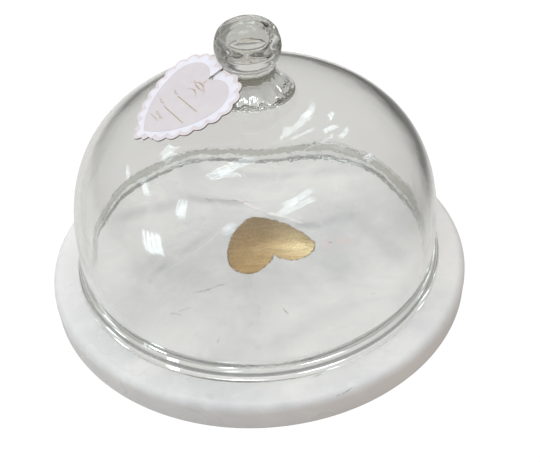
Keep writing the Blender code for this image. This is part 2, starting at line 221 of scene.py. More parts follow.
def scalloped_outline(border, depth, fuller):
    """The card's heart, grown by a border, with a row of equal scallops from cusp to cusp at the
    notch. Its lobes are a little fuller than the plain heart's."""
    base = [Vector(point) for point in heart_outline(CARD_HEART, CARD_SHAPE, border)]
    top = max(range(len(base)), key=lambda i: base[i].y - abs(base[i].x) * 50)
    base = base[top:] + base[: top + 1]
    lengths = running_lengths(base)
    place = card_place()
    outline, piece = [], 0
    for step in range(SCALLOPS * SCALLOP_STEPS):
        along = lengths[-1] * step / (SCALLOPS * SCALLOP_STEPS)
        while lengths[piece + 1] < along:
            piece += 1
        before, after = base[piece], base[piece + 1]
        share = (along - lengths[piece]) / (lengths[piece + 1] - lengths[piece])
        outward = Vector(((after - before).y, -(after - before).x)).normalized()
        spot = before.lerp(after, share)
        rise = depth * (sin(pi * (step % SCALLOP_STEPS) / SCALLOP_STEPS) - 0.5)
        spot += outward * (rise + fuller * smoothstep((spot.y / MM - 20) / 26))
        # The tip is rounded like one more scallop
        reach = border + 1.3 * MM
        if spot.y < 0 and spot.length > reach:
            spot *= reach / spot.length
        # Where a lobe would meet the knob's neck it stops short of it
        away = (place @ Vector((*spot, 0))).xy - KNOB_PLACE
        if away.length < NECK_CLEARANCE:
            step_back = away.normalized() * (NECK_CLEARANCE - away.length)
            spot += (place.to_3x3().inverted() @ Vector((*step_back, 0))).xy
        outline.append(spot)
    return outline


def finish_mesh(name, bm, smooth_angle=SMOOTH_ANGLE):
    """Turns a bmesh into a mesh with outward faces, smooth where its faces meet gently."""
    bmesh.ops.recalc_face_normals(bm, faces=bm.faces)
    mesh = bpy.data.meshes.new(name)
    bm.to_mesh(mesh)
    bm.free()
    mesh.shade_smooth()
    mesh.set_sharp_from_angle(angle=smooth_angle)
    return mesh


def ring_mesh(bm, rings, sides):
    """Joins rings of points into a skin; a ring of one point closes it like a pole."""
    rows = [[bm.verts.new(point) for point in ring] for ring in rings]
    for upper, lower in zip(rows, rows[1:]):
        for i in range(sides):
            j = (i + 1) % sides
            if len(upper) == 1:
                bm.faces.new((upper[0], lower[i], lower[j]))
            elif len(lower) == 1:
                bm.faces.new((upper[i], lower[0], upper[j]))
            else:
                bm.faces.new((upper[i], lower[i], lower[j], upper[j]))
    return rows


def lathe_rings(profile, sides, centre=(0, 0)):
    """Rings of points for a profile of (radius, height) points round a vertical axis."""
    rings = []
    for radius, height in profile:
        if radius < 1e-7:
            rings.append([Vector((centre[0], centre[1], height))])
            continue
        rings.append([Vector((*spot, height)) for spot in circle(centre, radius, sides)])
    return rings


def lathe_mesh(name, profile, sides, centre=(0, 0)):
    bm = bmesh.new()
    ring_mesh(bm, lathe_rings(profile, sides, centre), sides)
    return finish_mesh(name, bm)


def join_loops(bm, loops):
    """Skins closed loops of equal length, one after the other."""
    for lower, upper in zip(loops, loops[1:]):
        for i in range(len(lower)):
            bm.faces.new((lower[i - 1], lower[i], upper[i], upper[i - 1]))


def add_solid(bm, loops):
    """A closed solid through loops of equal length."""
    bm.faces.new(reversed(loops[0]))
    bm.faces.new(loops[-1])
    join_loops(bm, loops)


def add_prism(bm, layers):
    """A closed solid through outlines of equal length, each with its height, bottom first."""
    add_solid(
        bm, [[bm.verts.new((p[0], p[1], height)) for p in outline] for outline, height in layers]
    )


def prism_mesh(name, layers, smooth_angle=SMOOTH_ANGLE):
    bm = bmesh.new()
    add_prism(bm, layers)
    return finish_mesh(name, bm, smooth_angle)


def tube_mesh(name, path, radius, sides, closed=False):
    """A round tube along a path, with its sections carried along without twist."""
    bm = bmesh.new()
    count = len(path)
    across = Vector((0, 0, 1))
    rings = []
    for i, point in enumerate(path):
        if closed:
            along = path[(i + 1) % count] - path[i - 1]
        else:
            along = path[min(i + 1, count - 1)] - path[max(i - 1, 0)]
        along.normalize()
        across = (across - along * across.dot(along)).normalized()
        other = along.cross(across)
        ring = [point + across * x + other * y for x, y in circle((0, 0), radius, sides)]
        rings.append([bm.verts.new(spot) for spot in ring])
    if closed:
        join_loops(bm, rings + rings[:1])
    else:
        add_solid(bm, rings)
    return finish_mesh(name, bm, radians(60))


def add_object(name, data):
    thing = bpy.data.objects.new(name, data)
    bpy.context.scene.collection.objects.link(thing)
    return thing


def add_piece(name, mesh, finish, body, replaces=()):
    """Links a mesh as a piece of the object that rides on a body."""
    piece = add_object(name, mesh)
    if finish is not None:
        mesh.materials.append(finish)
    if body is not None:
        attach(piece, body)
    if replaces:
        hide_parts(*replaces)
    return piece


# ---------------------------------------------------------------- materials


class Nodes:
    """A node tree, with short ways to add and link its nodes."""

    def __init__(self, tree):
        self.tree = tree

    def add(self, kind, inputs=(), **settings):
        node = self.tree.nodes.new("ShaderNode" + kind)
        for key, value in settings.items():
            setattr(node, key, value)
        for key, value in dict(inputs).items():
            self.put(node.inputs[key], value)
        return node

    def put(self, socket, value):
        if isinstance(value, bpy.types.NodeSocket):
            self.tree.links.new(value, socket)
        elif isinstance(value, (tuple, list)) and socket.type == "RGBA":
            socket.default_value = (*value[:3], 1)
        else:
            socket.default_value = value

    def math(self, operation, a, b=0.0):
        return self.add("Math", {0: a, 1: b}, operation=operation).outputs[0]

    def vector(self, operation, a, b=(0, 0, 0)):
        return self.add("VectorMath", {0: a, 1: b}, operation=operation).outputs[0]

    def parts(self, vector):
        """A vector's X, Y and Z."""
        return self.add("SeparateXYZ", {0: vector}).outputs


class Shader(Nodes):
    """A material's node tree, with its Principled surface."""

    def __init__(self, name):
        self.material = bpy.data.materials.new(name)
        self.material.use_nodes = True
        super().__init__(self.material.node_tree)
        self.surface = self.tree.nodes["Principled BSDF"]
        self.output = self.tree.nodes["Material Output"]

    def set(self, **values):
        for key, value in values.items():
            self.put(self.surface.inputs[key.replace("_", " ")], value)

    def place(self):
        return self.add("TexCoord").outputs["Object"]

    def noise(self, place, scale, detail=3.0, roughness=0.5, distortion=0.0):
        keys = ("Vector", "Scale", "Detail", "Roughness", "Distortion")
        values = (place, scale, detail, roughness, distortion)
        return self.add("TexNoise", zip(keys, values)).outputs[0]

    def stretched(self, place, scale, turn=0.0):
        node = self.add("Mapping", {"Vector": place, "Scale": scale, "Rotation": (0, 0, turn)})
        return node.outputs[0]

    def span(self, value, low, high, to_low=0.0, to_high=1.0):
        """value from low..high to to_low..to_high, smooth at both ends."""
        keys = ("Value", "From Min", "From Max", "To Min", "To Max")
        values = zip(keys, (value, low, high, to_low, to_high))
        return self.add("MapRange", values, interpolation_type="SMOOTHSTEP").outputs[0]

    def blend(self, share, first, second):
        """The colour that is a share of the way from the first to the second."""
        return self.add("Mix", {0: share, 6: first, 7: second}, data_type="RGBA").outputs[2]

    def bump(self, height, strength, distance=0.001, normal=None):
        inputs = {"Height": height, "Strength": strength, "Distance": distance}
        if normal is not None:
            inputs["Normal"] = normal
        return self.add("Bump", inputs).outputs[0]


def streak(shader, place, centre, angle, length, width, wobble, seed):
    """A thin wandering vein: 1 along its middle, fading to its sides and its ends."""
    local = shader.vector("SUBTRACT", place, (*centre, 0))
    turned = shader.add(
        "VectorRotate", {"Vector": local, "Angle": -angle}, rotation_type="Z_AXIS"
    ).outputs[0]
    parts = shader.parts(turned)
    seeded = shader.vector("ADD", place, (seed, seed * 0.37, 0))
    wander = shader.math("SUBTRACT", shader.noise(seeded, 1.1 / length, 4, 0.6), 0.5)
    across = shader.math("ADD", parts[1], shader.math("MULTIPLY", wander, wobble))
    body = shader.span(shader.math("ABSOLUTE", across), 0, width, 1, 0)
    ends = shader.span(shader.math("ABSOLUTE", parts[0]), length * 0.25, length * 0.5, 1, 0)
    broken = shader.span(shader.noise(seeded, 3.5 / length, 2), 0.30, 0.52)
    return shader.math("MULTIPLY", shader.math("MULTIPLY", body, ends), broken)


def marble_finish():
    """Polished white marble: soft clouds, a broken grey vein and a few dark specks."""
    m = Shader("white_marble")
    place = m.place()
    clouds = m.noise(place, 12, 6, 0.6, 0.5)
    drift = m.noise(m.stretched(place, (1.0, 2.6, 1.0), radians(-24)), 16, 5, 0.62, 0.4)
    fine = m.noise(place, 85, 6, 0.68, 0.5)
    colour = m.blend(m.span(clouds, 0.30, 0.68), (0.60, 0.60, 0.615), (0.765, 0.755, 0.745))
    colour = m.blend(m.span(drift, 0.50, 0.74, 0, 0.42), colour, (0.565, 0.565, 0.59))
    colour = m.blend(m.span(fine, 0.50, 0.72, 0, 0.35), colour, (0.82, 0.81, 0.80))
    colour = m.blend(m.span(fine, 0.30, 0.46, 0.22, 0), colour, (0.50, 0.50, 0.52))
    # Wide, soft grey veins
    for centre, angle, length, width, wobble, share, seed in (
        ((-0.030, 0.053), -0.25, 0.060, 0.0075, 0.012, 0.50, 1.3),
        ((-0.020, 0.050), -0.10, 0.034, 0.0040, 0.006, 0.55, 3.3),
        ((0.024, 0.023), -0.35, 0.050, 0.0065, 0.008, 0.60, 4.1),
        ((0.046, 0.021), 0.12, 0.050, 0.0070, 0.010, 0.42, 6.6),
        ((-0.072, 0.042), 0.35, 0.060, 0.0100, 0.012, 0.45, 2.2),
        ((-0.045, -0.001), 0.85, 0.075, 0.0045, 0.010, 0.30, 7.7),
        ((0.070, 0.010), -1.0, 0.120, 0.0100, 0.024, 0.20, 9.4),
        ((-0.073, -0.028), 1.4, 0.060, 0.0130, 0.016, 0.26, 3.6),
        ((0.030, -0.070), 0.5, 0.110, 0.0120, 0.030, 0.20, 5.2),
        ((0.010, 0.085), -0.15, 0.140, 0.0090, 0.022, 0.26, 8.3),
    ):
        vein = streak(m, place, centre, angle, length, width, wobble, seed)
        colour = m.blend(m.math("MULTIPLY", vein, share * 0.85), colour, (0.36, 0.36, 0.38))
    # A pale ridge and darker threads along the main vein, and a rusty stain to its right
    for centre, angle, length, width, wobble, share, tint, seed in (
        ((0.003, 0.041), -0.70, 0.046, 0.0014, 0.007, 0.75, (0.90, 0.84, 0.82), 5.9),
        ((0.019, 0.028), -0.62, 0.034, 0.0016, 0.006, 0.80, (0.90, 0.86, 0.85), 1.9),
        ((-0.012, 0.0495), -0.12, 0.040, 0.0007, 0.005, 0.70, (0.33, 0.26, 0.27), 8.9),
        ((-0.030, 0.0525), -0.75, 0.012, 0.0016, 0.003, 0.70, (0.30, 0.24, 0.26), 0.9),
        ((0.004, 0.0375), -0.72, 0.052, 0.0008, 0.006, 0.55, (0.40, 0.36, 0.38), 2.9),
        ((-0.040, -0.002), 0.80, 0.070, 0.0008, 0.010, 0.45, (0.88, 0.86, 0.85), 6.1),
        ((-0.052, -0.008), 0.78, 0.060, 0.0007, 0.010, 0.35, (0.44, 0.43, 0.45), 7.1),
        ((0.049, -0.003), 0.10, 0.026, 0.0075, 0.008, 0.40, (0.80, 0.60, 0.60), 4.6),
        ((0.052, -0.011), 0.45, 0.020, 0.0012, 0.005, 0.50, (0.86, 0.66, 0.64), 4.9),
        ((0.041, 0.035), -1.35, 0.012, 0.0008, 0.003, 0.45, (0.55, 0.38, 0.42), 3.9),
    ):
        line = streak(m, place, centre, angle, length, width, wobble, seed)
        colour = m.blend(m.math("MULTIPLY", line, share), colour, tint)
    # Short dark cracks and specks
    for centre, angle, length, width, seed in (
        ((-0.028, -0.036), 0.35, 0.020, 0.0007, 1.1),
        ((-0.035, -0.038), 0.20, 0.012, 0.0010, 2.1),
        ((-0.046, -0.053), 0.35, 0.016, 0.0007, 3.1),
        ((-0.049, -0.055), -0.2, 0.008, 0.0006, 4.2),
        ((0.013, -0.059), -1.1, 0.007, 0.0008, 5.1),
        ((-0.025, -0.077), 1.4, 0.006, 0.0007, 6.3),
        ((0.018, -0.095), 1.2, 0.004, 0.0009, 7.3),
        ((0.031, -0.096), 1.2, 0.004, 0.0008, 8.1),
        ((0.064, -0.050), 0.0, 0.0035, 0.0009, 9.1),
        ((0.045, -0.002), 0.0, 0.0030, 0.0008, 1.7),
        ((0.026, -0.108), 0.4, 0.006, 0.0006, 2.7),
        ((0.039, -0.119), 0.4, 0.012, 0.0007, 3.7),
        ((-0.065, 0.018), 1.4, 0.004, 0.0006, 4.7),
        ((0.020, 0.099), 0.3, 0.003, 0.0008, 5.7),
    ):
        crack = streak(m, place, centre, angle, length, width * 0.75, length * 0.25, seed)
        colour = m.blend(m.math("MULTIPLY", crack, 0.62), colour, (0.17, 0.15, 0.145))
    # The side is warmer than the top, most of all to the right. The whole slab is painted darker to
    # the right, a painted shade, and paler to the left, a painted light.
    side = m.span(m.parts(m.add("NewGeometry").outputs["Normal"])[2], 0.15, 0.75, 1, 0)
    right = m.parts(place)[0]
    warm = m.math("MULTIPLY", side, m.span(right, -0.06, 0.10, 0.25, 0.8))
    colour = m.blend(warm, colour, (0.755, 0.675, 0.63))
    # Painted shade: the whole slab darker towards the right
    painted_shade_right = m.math("MULTIPLY", m.span(right, 0.07, 0.13), 0.5)
    colour = m.blend(painted_shade_right, colour, (0.58, 0.545, 0.525))
    # Painted light: the slab paler towards the left
    painted_light_left = m.math("MULTIPLY", m.span(right, -0.13, -0.07, 1, 0), 0.6)
    colour = m.blend(painted_light_left, colour, (0.80, 0.79, 0.785))
    m.set(Base_Color=colour)
    grain = m.noise(place, 420, 4, 0.6)
    smear = m.noise(place, 25, 3)
    m.set(Roughness=m.span(smear, 0.3, 0.7, 0.24, 0.36), IOR=1.5)
    m.set(Normal=m.bump(m.math("ADD", grain, m.math("MULTIPLY", side, grain)), 0.05, 0.0003))
    return m.material


def brass_finish():
    """Brushed brass: long fine scratches along the plate, a soft stretched highlight and a
    highlight painted on towards the right lobe.
    """
    m = Shader("brushed_brass")
    place = m.place()
    turn = radians(9)
    long_lines = m.noise(m.stretched(place, (16, 900, 1), turn), 1, 4, 0.6)
    fine_lines = m.noise(m.stretched(place, (70, 4200, 1), turn), 1, 2, 0.6)
    patches = m.noise(m.stretched(place, (26, 120, 1), turn), 1, 3, 0.5)
    colour = m.blend(m.span(long_lines, 0.3, 0.7), (0.49, 0.325, 0.148), (0.67, 0.465, 0.24))
    colour = m.blend(m.span(patches, 0.5, 0.75, 0, 0.5), colour, (0.78, 0.58, 0.32))
    # Painted highlight: the plate is painted brighter towards its right lobe, in patches
    to_right = m.span(m.parts(place)[0], 0.002, 0.026)
    painted_highlight = m.math("MULTIPLY", to_right, m.span(patches, 0.25, 0.6, 0.35, 1))
    colour = m.blend(m.math("MULTIPLY", painted_highlight, 0.9), colour, (1.0, 0.80, 0.46))
    m.set(Base_Color=colour, Metallic=1.0, Anisotropic=0.75)
    m.set(Roughness=m.span(long_lines, 0.25, 0.75, 0.22, 0.34))
    m.set(Tangent=m.add("Tangent", direction_type="UV_MAP", uv_map="brushing").outputs[0])
    lines = m.math("ADD", m.math("MULTIPLY", long_lines, 0.7), m.math("MULTIPLY", fine_lines, 0.3))
    m.set(Normal=m.bump(lines, 0.30, 0.00005))
    return m.material


def resin_finish():
    """The glue line round the inlay: dull, a little dirty, darker in places."""
    m = Shader("bedding_resin")
    place = m.place()
    dirt = m.noise(place, 180, 4, 0.6)
    m.set(Base_Color=m.blend(m.span(dirt, 0.35, 0.7), (0.30, 0.26, 0.22), (0.52, 0.48, 0.43)))
    m.set(Roughness=0.55, Normal=m.bump(dirt, 0.3, 0.0001))
    return m.material


def rubber_finish():
    """Frosted soft plastic bumpers with a fine moulded grain."""
    m = Shader("frosted_rubber")
    place = m.place()
    grain = m.noise(place, 900, 2)
    haze = m.noise(place, 120, 3)
    m.set(Base_Color=m.blend(haze, (0.50, 0.51, 0.52), (0.62, 0.63, 0.64)), Roughness=0.45)
    m.set(Subsurface_Weight=0.2, Subsurface_Scale=0.002, Subsurface_Radius=(1, 1, 1))
    m.set(Normal=m.bump(grain, 0.25, 0.0001))
    return m.material


def glass_finish():
    """Clear glass with a grey body colour. Lamps and soft light reach what is under it."""
    m = Shader("clear_glass")
    place = m.place()
    # The rim's roundings are greyed with painted shade, a stand-in for the dark contact line where
    # the glass meets the board
    height = m.parts(place)[2]
    edge = m.math(
        "MULTIPLY",
        m.span(height, RIM_LEVEL + 0.9 * MM, RIM_LEVEL + 1.7 * MM, 1, 0),
        m.span(height, RIM_LEVEL + 0.02 * MM, RIM_LEVEL + 0.15 * MM),
    )
    m.set(Base_Color=m.blend(edge, (0.985, 0.985, 0.98), (0.22, 0.225, 0.23)))
    m.set(Roughness=0.0, IOR=1.5, Transmission_Weight=1.0)
    swirl = m.noise(m.stretched(place, (1, 1, 2.2)), 34, 2, 0.4, 0.6)
    fine = m.noise(m.stretched(place, (1, 1, 1.6)), 420, 2, 0.5)
    m.set(Normal=m.bump(fine, 0.05, 0.0003, m.bump(swirl, 0.10, 0.0004)))
    ray = m.add("LightPath")
    through = m.math("MAXIMUM", ray.outputs["Is Shadow Ray"], ray.outputs["Is Diffuse Ray"])
    # A stand-in too: light that has turned five times or more passes straight through, dimmed.
    # Without it the knob's neck has a black ring
    caught = m.math("GREATER_THAN", ray.outputs["Ray Depth"], 4.5)
    through = m.math("MAXIMUM", through, caught)
    faded = m.math("MULTIPLY", caught, m.math("LESS_THAN", ray.outputs["Is Shadow Ray"], 0.5))
    tint = m.blend(faded, (0.965, 0.965, 0.96), (0.76, 0.76, 0.735))
    open_glass = m.add("BsdfTransparent", {"Color": tint})
    mixed = m.add("MixShader", {0: through, 1: m.surface.outputs[0], 2: open_glass.outputs[0]})
    m.put(m.output.inputs["Surface"], mixed.outputs[0])
    body = m.add("VolumeAbsorption", {"Color": (0.74, 0.73, 0.685), "Density": 16})
    m.put(m.output.inputs["Volume"], body.outputs[0])
    return m.material


def paper_finish(name, colour, shade, sheen=0.0):
    """Card stock with fine fibres and a faint mottle."""
    m = Shader(name)
    place = m.place()
    fibres = m.noise(m.stretched(place, (1, 1.7, 1), 0.6), 2600, 3, 0.7)
    mottle = m.noise(place, 160, 3)
    m.set(Base_Color=m.blend(m.span(mottle, 0.3, 0.7), colour, shade), Roughness=0.62)
    m.set(Coat_Weight=sheen, Coat_Roughness=0.35)
    m.set(Normal=m.bump(fibres, 0.12, 0.0001))
    return m.material


def foil_finish():
    """Gold foil with a fine grain."""
    m = Shader("gold_foil")
    place = m.place()
    grain = m.noise(place, 1500, 3, 0.6)
    colour = m.blend(m.span(grain, 0.3, 0.7), (0.36, 0.26, 0.15), (0.66, 0.52, 0.31))
    m.set(Base_Color=colour, Metallic=0.85, Roughness=0.33, Normal=m.bump(grain, 0.2, 0.00005))
    return m.material


def thread_finish():
    """Twisted metallic grey thread."""
    m = Shader("grey_thread")
    place = m.place()
    twist = m.noise(place, 3500, 2)
    m.set(Base_Color=m.blend(m.span(twist, 0.35, 0.65), (0.13, 0.125, 0.12), (0.42, 0.41, 0.40)))
    m.set(Roughness=0.45, Metallic=0.25, Normal=m.bump(twist, 0.6, 0.0001))
    return m.material


def floor_finish():
    """A bright paper sweep. In the glass it shows as a grey table with painted shade, darker to the
    right and further away.
    """
    m = Shader("pale_floor")
    place = m.place()
    x, y, _ = m.parts(place)
    far = m.add("VectorMath", {0: place}, operation="LENGTH").outputs["Value"]
    # Painted shade seen in the glass: a dark patch to the right, and darkening further away
    right = m.math("ADD", x, m.math("MULTIPLY", y, 0.08))
    shade = m.math("MULTIPLY", m.span(right, 0.15, 0.30, 1, 0.25), m.span(far, 0.5, 1.2, 1, 0.65))
    tint = m.add("VectorMath", {0: (0.64, 0.625, 0.617), "Scale": shade}, operation="SCALE")
    m.set(Base_Color=tint.outputs[0], Roughness=0.9, Specular_IOR_Level=0.1)
    white = m.add("Emission", {"Color": (1, 1, 1), "Strength": 1.05})
    ray = m.add("LightPath")
    mixed = m.add(
        "MixShader", {0: ray.outputs["Is Camera Ray"], 1: m.surface.outputs[0], 2: white.outputs[0]}
    )
    m.put(m.output.inputs["Surface"], mixed.outputs[0])
    return m.material


# ---------------------------------------------------------------- the board


def squeeze_lobe(point):
    """The inlay's right lobe is a few millimetres shorter than its left."""
    share = smoothstep((point.x / MM + 5) / 13) * smoothstep((8 - point.y / MM) / 17)
    return Vector((point.x, point.y + 4.0 * MM * share))


def inlay_outline(border):
    turn = Matrix.Rotation(HEART_TURN, 2)
    return [
        squeeze_lobe(HEART_TIP + turn @ Vector(point))
        for point in heart_outline(HEART_HEIGHT, HEART_SHAPE, border)
    ]


def make_board(finishes):
    """The slab with its pocket, the resin tray and the brass heart."""
    top, foot = TOP_ROUNDING, FOOT_ROUNDING
    profile = [(0, BOARD_TOP)]
    profile += [(radius * MM, BOARD_TOP) for radius in (60, 100, 116, 120)]
    profile += reversed(arc((BOARD_RADIUS - top, BOARD_TOP - top), top, 0, pi / 2, 12))
    middle = [BOARD_BOTTOM + share * BOARD_THICKNESS for share in (0.6, 0.45, 0.3)]
    profile += [(BOARD_RADIUS, height) for height in middle]
    profile += arc((BOARD_RADIUS - foot, BOARD_BOTTOM + foot), foot, 0, -pi / 2, 8)
    profile += [(60 * MM, BOARD_BOTTOM), (0, BOARD_BOTTOM)]
    mesh = lathe_mesh("marble_slab", profile, BOARD_SIDES)
    # The slab's edge isn't quite even
    for vertex in mesh.vertices:
        edge = smoothstep((vertex.co.xy.length / MM - 119) / 7)
        if edge > 0:
            wear = noise.noise(vertex.co * 22 + Vector((3, 1, 7))) * 0.5
            wear += noise.noise(vertex.co * 120) * 0.14
            vertex.co.xy -= vertex.co.xy.normalized() * edge * (0.14 + wear * 0.2) * MM

    heart_bottom = BOARD_TOP + HEART_PROUD - HEART_THICKNESS
    bed_top = heart_bottom - GAP / 3
    bed_bottom = bed_top - RESIN_BED
    pocket = inlay_outline(RESIN_WALL + GAP / 3)
    layers = [(pocket, bed_bottom), (pocket, BOARD_TOP + 5 * MM)]
    cutter = add_object("pocket_cutter", prism_mesh("pocket_cutter", layers))
    slab = add_object("slab_uncut", mesh)
    cut = slab.modifiers.new("pocket", "BOOLEAN")
    cut.object = cutter
    cut.operation = "DIFFERENCE"
    evaluated = slab.evaluated_get(bpy.context.evaluated_depsgraph_get())
    cut_mesh = bpy.data.meshes.new_from_object(evaluated)
    bpy.data.objects.remove(slab)
    bpy.data.objects.remove(cutter)
    cut_mesh.name = "marble_slab"
    cut_mesh.materials.clear()
    cut_mesh.shade_smooth()
    cut_mesh.set_sharp_from_angle(angle=radians(35))
    add_piece("marble_slab", cut_mesh, finishes["marble"], "base", ["marble_base"])

    wall, inside = inlay_outline(RESIN_WALL), inlay_outline(GAP / 4)
    level = BOARD_TOP - 0.08 * MM
    layers = [(wall, bed_bottom + 0.05 * MM), (wall, level)]
    layers += [(inside, level - 0.1 * MM), (inside, bed_top)]
    mesh = prism_mesh("resin_line", layers)
    add_piece("resin_line", mesh, finishes["resin"], "base", ["inlay_resin"])

    heart_top = BOARD_TOP + HEART_PROUD
    layers = [
        (inlay_outline(-0.1 * MM), heart_bottom),
        (inlay_outline(0), heart_bottom + 0.1 * MM),
        (inlay_outline(0), heart_top - 0.3 * MM),
        (inlay_outline(-0.09 * MM), heart_top - 0.09 * MM),
        (inlay_outline(-0.3 * MM), heart_top),
    ]
    mesh = prism_mesh("brass_plate", layers, radians(50))
    brushing = mesh.uv_layers.new(name="brushing")
    turn = Matrix.Rotation(radians(7), 2)
    for loop in mesh.loops:
        brushing.data[loop.index].uv = turn @ (mesh.vertices[loop.vertex_index].co.xy * 10)
    add_piece("brass_plate", mesh, finishes["brass"], "base", ["brass_heart"])


def make_foot_pads(finishes):
    """Bumpers with rounded edges, a little sunk in the middle."""
    side, foot = (PAD_RADIUS, PAD_HEIGHT), (PAD_RADIUS, 0)
    profile = [(0, PAD_HEIGHT), beside(side, -0.5, 0), beside(side, 0, -0.4), beside(side, 0, -0.9)]
    profile += curves_through(
        profile[-1], (beside(foot, -0.1, 0.5), beside(foot, -0.9, 0), beside(foot, -2.2, 0), 8)
    )
    profile += [(2.2 * MM, 0), (1.5 * MM, 0.25 * MM), (0, 0.3 * MM)]
    for number in range(4):
        turn = radians(45 + 90 * number)
        centre = (PAD_CIRCLE * cos(turn), PAD_CIRCLE * sin(turn))
        name = f"bumper_{number + 1}"
        mesh = lathe_mesh(name, profile, 48, centre)
        add_piece(name, mesh, finishes["rubber"], "base", [f"foot_pad_{number + 1}"])


# ---------------------------------------------------------------- the cloche


def superellipse(radius, rise, steps):
    """A quarter of a dome's profile above its spring height, from the pole down to the wall."""
    power = 2 / ROUNDNESS
    turns = (pi / 2 * (1 - step / steps) for step in range(steps + 1))
    return [(radius * cos(t) ** power, SPRING_HEIGHT + rise * sin(t) ** power) for t in turns]


def crown_height(radius):
    """How high the dome's outer surface is above its rim, at a radius on the crown."""
    rise = DOME_HEIGHT - SPRING_HEIGHT
    across = (radius / WALL_RADIUS) ** (ROUNDNESS / 2)
    return SPRING_HEIGHT + rise * sqrt(1 - across**2) ** (2 / ROUNDNESS)


def knob_profile():
    """The knob's side as (radius, height above the crown) points, from its dish to its foot."""
    bottom, crest = (0, KNOB_HEIGHT - DISH_DEPTH), (CREST_RADIUS, KNOB_HEIGHT)
    head, neck = (HEAD_RADIUS, HEAD_HEIGHT), (NECK_RADIUS, NECK_HEIGHT)
    foot = (FOOT_RADIUS, crown_height(FOOT_RADIUS) - DOME_HEIGHT)
    return [bottom] + curves_through(
        bottom,
        (beside(bottom, 6.5, 0), beside(bottom, 10.6, 1.1), beside(crest, -1.8, -1.4), 12),
        (beside(crest, -1.2, -0.5), beside(crest, -0.7, 0), crest, 8),
        (beside(crest, 2.3, 0), beside(head, 0, 5.2), head, 16),
        (beside(head, 0, -5.6), beside(neck, 2.9, 4.2), beside(neck, 0.5, 2.6), 16),
        (beside(neck, -0.1, 2.2), beside(neck, -0.1, 1.2), beside(neck, -0.1, 0), 7),
        (beside(neck, -0.1, -4.2), beside(foot, -5.4, 4.2), beside(foot, -0.9, 1.05), 20),
        (beside(foot, -0.45, 0.75), beside(foot, -0.25, 0.5), beside(foot, -0.15, 0.2), 5),
    )


def outer_rings():
    """The outside from the knob's dish to the rim's underside, in one skin. The knob stands a
    little off the dome's axis, so the rings round its foot slide over to that axis."""
    rings = lathe_rings(raised(knob_profile(), CROWN_LEVEL), CLOCHE_SIDES, KNOB_PLACE)
    for step in range(15):
        share = step / 14
        radius = FOOT_RADIUS + 0.25 * MM + (62 * MM - FOOT_RADIUS) * share**1.3
        centre = KNOB_PLACE * (1 - smoothstep(share))
        ring = []
        for spot in circle(centre, radius, CLOCHE_SIDES):
            ring.append(Vector((*spot, RIM_LEVEL + crown_height(Vector(spot).length))))
        rings.append(ring)
    dome = superellipse(WALL_RADIUS, DOME_HEIGHT - SPRING_HEIGHT, 64)
    profile = [point for point in dome if point[0] > 64 * MM]
    waist, rim = (WAIST_RADIUS, WAIST_HEIGHT), (RIM_RADIUS, RIM_EDGE)
    profile += curves_through(
        profile[-1],
        (beside((WALL_RADIUS, SPRING_HEIGHT), 0, -0.9), beside(waist, 0, 1.0), waist, 5),
        (beside(waist, 0, -1.6), beside(rim, -0.2, 5.4), beside(rim, 0, 1.2), 12),
    )
    profile += reversed(arc((RIM_RADIUS - RIM_EDGE, RIM_EDGE), RIM_EDGE, -pi / 2, 0, 6))
    return rings + lathe_rings(raised(profile, RIM_LEVEL), CLOCHE_SIDES)


def inner_rings():
    """The inside from the rim's underside up to the pole."""
    wall = (WALL_RADIUS - WALL, 0)
    profile = [(RIM_RADIUS - 3 * MM, 0), beside(wall, 1.8, 0)]
    profile += curves_through(
        profile[-1], (beside(wall, 0.6, 0), beside(wall, 0.5, 0.5), beside(wall, 0.4, 1.6), 6)
    )
    profile += [beside(wall, 0.2, 6), beside(wall, 0, 10), (wall[0], SPRING_HEIGHT)]
    inside = superellipse(wall[0], DOME_HEIGHT - SPRING_HEIGHT - CROWN_WALL, 48)
    profile += inside[-2::-1]
    return lathe_rings(raised(profile, RIM_LEVEL), CLOCHE_SIDES)


def ripple(place, seed):
    """The gentle unevenness of the glass, in metres."""
    wide = noise.noise(place * 17 + Vector((seed, 0, seed * 2)))
    narrow = noise.noise(place * 52 + Vector((0, seed * 3, 1)))
    fine = noise.noise(place * 150 + Vector((seed, 7, 0)))
    return (wide * 0.30 + narrow * 0.085 + fine * 0.016) * MM


def crown_gather(place):
    """How much thicker than its wall the dome is at a place, on its inside."""
    x = (place.x - GATHER_PLACE[0]) / GATHER_SPREAD[0]
    y = (place.y - GATHER_PLACE[1]) / GATHER_SPREAD[1]
    even = smoothstep(1 - place.xy.length / (100 * MM))
    return CROWN_GAIN * even + GATHER * exp(-(x * x + y * y) / 2)


def knob_marks(place, above):
    """The knob's unevenness: crinkles in its dish and folds down its neck, in metres."""
    across = place.xy - KNOB_PLACE
    head = smoothstep((above - 22) / 8)
    dish = 1 + 1.6 * smoothstep((14 - across.length / MM) / 3)
    crinkle = noise.noise(place * 230 + Vector((4, 0, 9))) * 0.14 * dish
    crinkle += noise.noise(place * 90 + Vector((1, 8, 2))) * 0.16 * dish
    turn = atan2(across.y, across.x)
    around = Vector((cos(turn), sin(turn), 0)) * 3.4 + Vector((0, 0, above * 0.045))
    folds = noise.noise(around * 1.9 + Vector((2.5, 6.1, 0))) * 0.60
    neck = smoothstep((above + 0.2) / 3) * smoothstep((11.8 - above) / 4)
    return (crinkle * head + folds * neck) * MM


